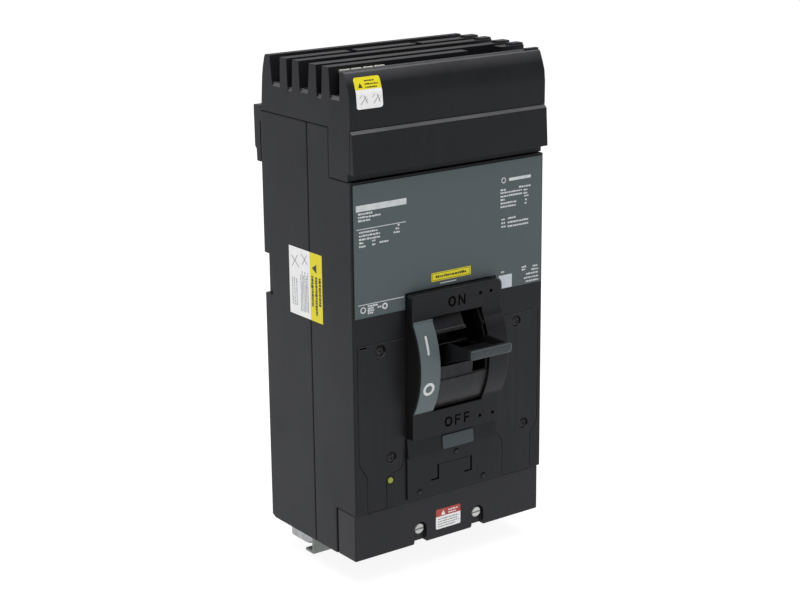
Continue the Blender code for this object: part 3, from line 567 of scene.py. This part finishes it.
def wall_sticker():
    """Two-colour sticker on the bowed front wall of the line end."""
    skin = front_skin("line_housing")
    left, right = -70.9, -51.7
    low, split, high = 292.3, 303.8, 311.0
    stick("line_sticker", skin, bar((left, right), (low, high), 1.6), "film", step=1.2)
    top = bar((left, right), (low, high), 1.6)[0]
    head = [(x, height) for x, height in top if height > split] + [(left, split), (right, split)]
    stick("line_sticker_head", skin, [head], "yellow", (0.07, 0.11), step=1.2)
    shapes = triangle(-66.9, 304.9, 3.4)
    for k, x in enumerate(((-63.4, -55.6), (-63.4, -53.8), (-63.4, -55.0))):
        shapes += row(x, 308.3 - 1.9 * k, 0.9, 70 + k)
    stick("line_sticker_marks", skin, shapes, "dark", (0.10, 0.13), step=1.2)
    shapes = []
    for x in (-65.6, -56.2):
        shapes += stroke((x - 2.2, 295.2), (x + 2.0, 299.8), 0.4)
        shapes += stroke((x + 2.6, 295.6), (x + 0.4, 300.4), 0.4)
        shapes += stroke((x - 3.0, 298.6), (x - 1.0, 300.8), 0.3)
        shapes += stroke((x + 1.2, 296.2), (x + 3.0, 298.4), 0.3)
    stick("line_sticker_strokes", skin, shapes, "grey", (0.07, 0.11), step=1.2)


def side_sticker():
    """Sticker across the seam on the left side, white to the rear and yellow to the front."""
    front, split, rear = 32.6, 46.3, 70.2
    low, high = 151.9, 196.5
    stick("side_sticker", left_skin, bar((split, rear), (low, high)), "film")
    stick("side_sticker_head", left_skin, bar((front, split - 0.05), (low, high)), "yellow")
    shapes = [[(38.8, 189.6), (38.8, 183.6), (43.8, 186.6)]]
    for k, (depth, end) in enumerate(((43.0, 161.4), (38.6, 156.4), (34.6, 163.0))):
        shapes += upright_row(depth - 0.5, (end, 181.4), 2.6, 80 + k)
    stick("side_sticker_marks", left_skin, shapes, "dark", (0.07, 0.11))
    shapes = []
    for k in range(6):
        shapes += upright_row(48.6 + 1.6 * k, (155.5, 182.0 - 2.5 * (k % 2)), 0.8, 90 + k)
    for k in range(3):
        shapes += upright_row(61.5 + 2.4 * k, (158.0, 176.0), 0.9, 97 + k)
    shapes += stroke((49.0, 187.4), (56.0, 193.2), 0.5) + stroke((49.6, 193.6), (55.0, 186.4), 0.5)
    shapes += stroke((59.0, 184.0), (67.6, 190.4), 0.5) + stroke((60.4, 191.6), (66.6, 183.6), 0.5)
    stick("side_sticker_rows", left_skin, shapes, "grey", (0.07, 0.11))


def cover_label():
    """Small label on the load end cover, red above and white below."""
    skin = front_skin("load_end_cover")
    left, right = -11.2, 9.1
    low, split, high = 6.2, 14.8, 20.0
    outline = bar((left, right), (low, high), 0.9)[0]
    foot = [(right, split), (left, split)] + [(x, height) for x, height in outline if height < split]
    stick("cover_label", skin, [foot], "film")
    head = [(x, height) for x, height in outline if height > split]
    head += [(left, split + 0.05), (right, split + 0.05)]
    stick("cover_label_head", skin, [head], "red")
    shapes = triangle(-5.2, 15.6, 3.6) + row((-1.0, 7.2), 17.6, 0.9, 60) + row((-1.0, 6.0), 15.8, 0.9, 61)
    stick("cover_label_marks", skin, shapes, "film", (0.07, 0.11))
    shapes = []
    for k, end in enumerate((8.0, 6.4, 7.8, 4.6)):
        shapes += row((-9.6, end), 12.6 - 1.7 * k, 0.7, 62 + k)
    stick("cover_label_rows", skin, shapes, "grey", (0.07, 0.11))


def position_marks():
    """Plain I and O marks on the strip beside the handle."""
    skin = front_skin("position_strip")
    stick("on_mark", skin, bar((-29.5, -27.9), (134.2, 146.0), 0.5), "white", (0.0, 0.05), step=1.0)
    stick("off_mark", skin, ring(-28.6, 111.6, 4.4, 2.5), "white", (0.0, 0.05), step=0.6)


def letter(kind, left, low):
    """Outlines of one of the plain letters O, N and F, 7 mm tall."""
    if kind == "O":
        return ring(left + 3.1, low + 3.5, 3.1, 1.6, 0.4)
    if kind == "N":
        outline = [(0, 0), (1.3, 0), (1.3, 4.7), (4.5, 0), (5.8, 0), (5.8, 7), (4.5, 7), (4.5, 2.3),
                   (1.3, 7), (0, 7)]
    else:
        outline = [(0, 0), (1.3, 0), (1.3, 2.9), (4.2, 2.9), (4.2, 4.1), (1.3, 4.1), (1.3, 5.8),
                   (4.8, 5.8), (4.8, 7), (0, 7)]
    return [[(left + across, low + up) for across, up in outline]]


WORDS = {
    "ON": (159.8, (("O", -7.3), ("N", 0.8))),
    "OFF": (80.0, (("O", -10.5), ("F", -2.2), ("F", 5.2))),
}
LETTER_DEPTH = 0.7
PRY_SLOT_DEPTH = 1.2


def sunk(node, outlines, depth):
    """A cutter that sinks outlines into the front of a node; its near-black faces line the cuts with painted
    shade.
    """
    mesh = slab(front_skin(node), outlines, (-depth, 0.5))
    data = bpy.data.meshes.new(f"{node}_cutter")
    mesh.to_mesh(data)
    mesh.free()
    data.materials.append(PRINTS["sunk_shade"])
    cutter = bpy.data.objects.new(f"{node}_cutter", data)
    bpy.context.scene.collection.objects.link(cutter)
    return cutter


def words():
    """ON and OFF, for the flat lands above and below the handle window."""
    return [outline for low, row_of in WORDS.values() for kind, left in row_of
            for outline in letter(kind, left, low)]


# How far the edges of each polished node are rounded, in millimetres
EDGE_WIDTHS = {
    "base": 0.35, "case_cover": 0.35, "line_housing": 0.35, "line_end_plate": 0.3,
    "load_end_cover": 0.3, "handle_bezel": 0.35, "trip_unit_cover": 0.25,
    "accessory_cover_left": 0.5, "accessory_cover_right": 0.5, "handle": 0.3,
    "arc_shutter": 0.25, "handle_tip": 0.35, "foot_bracket": 0.25, "blank_inset": 0.12,
    "trip_button": 0.5,
}
# The words, and a short pry slot at the top of each accessory cover
CUTTERS = {
    "handle_bezel": sunk("handle_bezel", words(), LETTER_DEPTH),
    "accessory_cover_left": sunk("accessory_cover_left", bar((-71.2, -66.0), (141.9, 143.0)),
                                 PRY_SLOT_DEPTH),
    "accessory_cover_right": sunk("accessory_cover_right", bar((38.4, 43.6), (141.7, 142.8)),
                                  PRY_SLOT_DEPTH),
}
for node, width in EDGE_WIDTHS.items():
    polish(node, width, CUTTERS.get(node))
for cutter in CUTTERS.values():
    bpy.data.objects.remove(cutter)
for node, thing in NODES.items():
    thing.data.materials.clear()
    thing.data.materials.append(finish_of(node))
nameplate_print()
wall_sticker()
side_sticker()
cover_label()
position_marks()


# ---------------------------------------------------------------- studio

def studio():
    """Bright pale floor under a white tent, with one soft box overhead."""
    mesh = bmesh.new()
    bmesh.ops.create_grid(mesh, x_segments=1, y_segments=1, size=FLOOR_SIZE,
                          matrix=Matrix.Translation((0, 0, CAD_BOX[0].z - FLOOR_DROP)))
    data = bpy.data.meshes.new("floor")
    mesh.to_mesh(data)
    mesh.free()
    floor = bpy.data.objects.new("floor", data)
    bpy.context.scene.collection.objects.link(floor)
    made, _, shader, _ = start_material("studio_floor")
    shader.inputs["Base Color"].default_value = (FLOOR_GREY, FLOOR_GREY, FLOOR_GREY, 1)
    shader.inputs["Roughness"].default_value = 0.9
    shader.inputs["Specular IOR Level"].default_value = 0.1
    shader.inputs["Emission Color"].default_value = (1, 1, 1, 1)
    shader.inputs["Emission Strength"].default_value = FLOOR_GLOW
    data.materials.append(made)

    world = bpy.data.worlds.new("studio")
    bpy.context.scene.world = world
    world.use_nodes = True
    tree = world.node_tree
    tree.nodes.clear()
    seen = tree.nodes.new("ShaderNodeLightPath").outputs["Is Camera Ray"]
    tent = add(tree, "ShaderNodeBackground", Color=(1, 1, 1, 1), Strength=TENT_LIGHT)
    backdrop = add(tree, "ShaderNodeBackground", Color=(1, 1, 1, 1), Strength=1.0)
    mix = tree.nodes.new("ShaderNodeMixShader")
    for socket, source in zip(mix.inputs, (seen, tent.outputs[0], backdrop.outputs[0])):
        tree.links.new(source, socket)
    tree.links.new(mix.outputs[0], tree.nodes.new("ShaderNodeOutputWorld").inputs["Surface"])

    light = bpy.data.lights.new("box_top", "AREA")
    light.size = BOX_SIZE
    light.energy = BOX_POWER
    box_top = bpy.data.objects.new("box_top", light)
    box_top.location = BOX_PLACE
    box_top.rotation_euler = (Vector(BOX_AIM) - Vector(BOX_PLACE)).to_track_quat("-Z", "Y").to_euler()
    bpy.context.scene.collection.objects.link(box_top)


def camera():
    data = bpy.data.cameras.new("camera")
    data.sensor_width = SENSOR
    data.lens = CAMERA_LENS
    data.clip_start = 0.05
    data.clip_end = 50
    made = bpy.data.objects.new("camera", data)
    turn = Matrix.Rotation(math.radians(-CAMERA_YAW), 4, "Z")
    turn = turn @ Matrix.Rotation(math.radians(90 - CAMERA_PITCH), 4, "X")
    turn = turn @ Matrix.Rotation(math.radians(CAMERA_ROLL), 4, "Z")
    made.matrix_world = Matrix.Translation(CAMERA_PLACE) @ turn
    bpy.context.scene.collection.objects.link(made)
    bpy.context.scene.camera = made


studio()
camera()
bpy.context.scene.view_settings.view_transform = "Standard"
